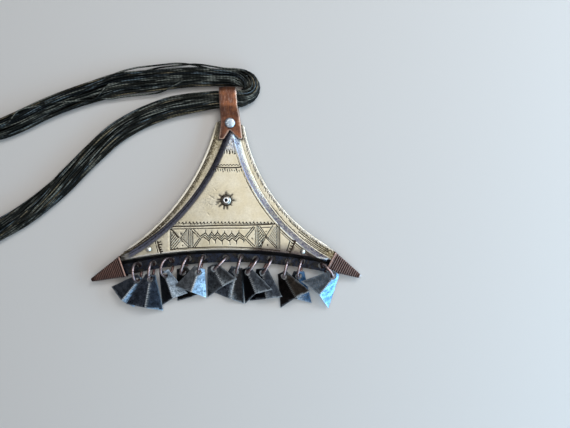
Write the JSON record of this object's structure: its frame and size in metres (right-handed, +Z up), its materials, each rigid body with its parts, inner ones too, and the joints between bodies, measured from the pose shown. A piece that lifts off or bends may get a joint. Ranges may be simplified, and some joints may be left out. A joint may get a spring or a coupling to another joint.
{
  "type": "triangular box pendant with dangling folded flags on a cord",
  "caption": "Curved-sided triangular metal box pendant with engraved front, ribbed corner caps, a row of folded flags on jump rings and a strap bail on a cord loop.",
  "frame": {"origin": "on the surface that the pendant lies on, under the middle of the pendant without its cord", "axes": "+Z up out of the engraved front, +Y from the flags towards the bail, +X to the right seen from the front"},
  "size_m": [0.3706, 0.119, 0.0099],
  "materials": {
    "silver_sheet": "hand-worked pale silver, engraved lines darkened, satin",
    "dark_plate": "dark tarnished sheet with a bluish sheen",
    "brown_copper": "brown patinated copper, ribbed",
    "orange_copper": "warm copper strap, satin with darker patches",
    "rivet_silver": "polished silver",
    "ring_copper": "pinkish copper wire",
    "blued_sheet": "blued dark sheet, mottled, bright worn edges",
    "waxed_cord": "waxed black twisted strands"
  },
  "bodies": {
    "root": {"front_shell": "silver_sheet", "back_plate": "dark_plate", "cap_left": "brown_copper", "cap_right": "brown_copper", "bail": "orange_copper", "bail_rivet": "rivet_silver", "stud_centre": "rivet_silver", "stud_left": "rivet_silver", "stud_right": "rivet_silver", "ring_01": "ring_copper", "ring_02": "ring_copper", "ring_03": "ring_copper", "ring_04": "ring_copper", "ring_05": "ring_copper", "ring_06": "ring_copper", "ring_07": "ring_copper", "ring_08": "ring_copper", "ring_09": "ring_copper", "ring_10": "ring_copper", "ring_11": "ring_copper", "ring_12": "ring_copper", "flag_01": "blued_sheet", "flag_02": "blued_sheet", "flag_03": "blued_sheet", "flag_04": "blued_sheet", "flag_05": "blued_sheet", "flag_06": "blued_sheet", "flag_07": "blued_sheet", "flag_08": "blued_sheet", "flag_09": "blued_sheet", "flag_10": "blued_sheet", "flag_11": "blued_sheet", "flag_12": "blued_sheet", "cord": "waxed_cord"}
  },
  "joints": []
}
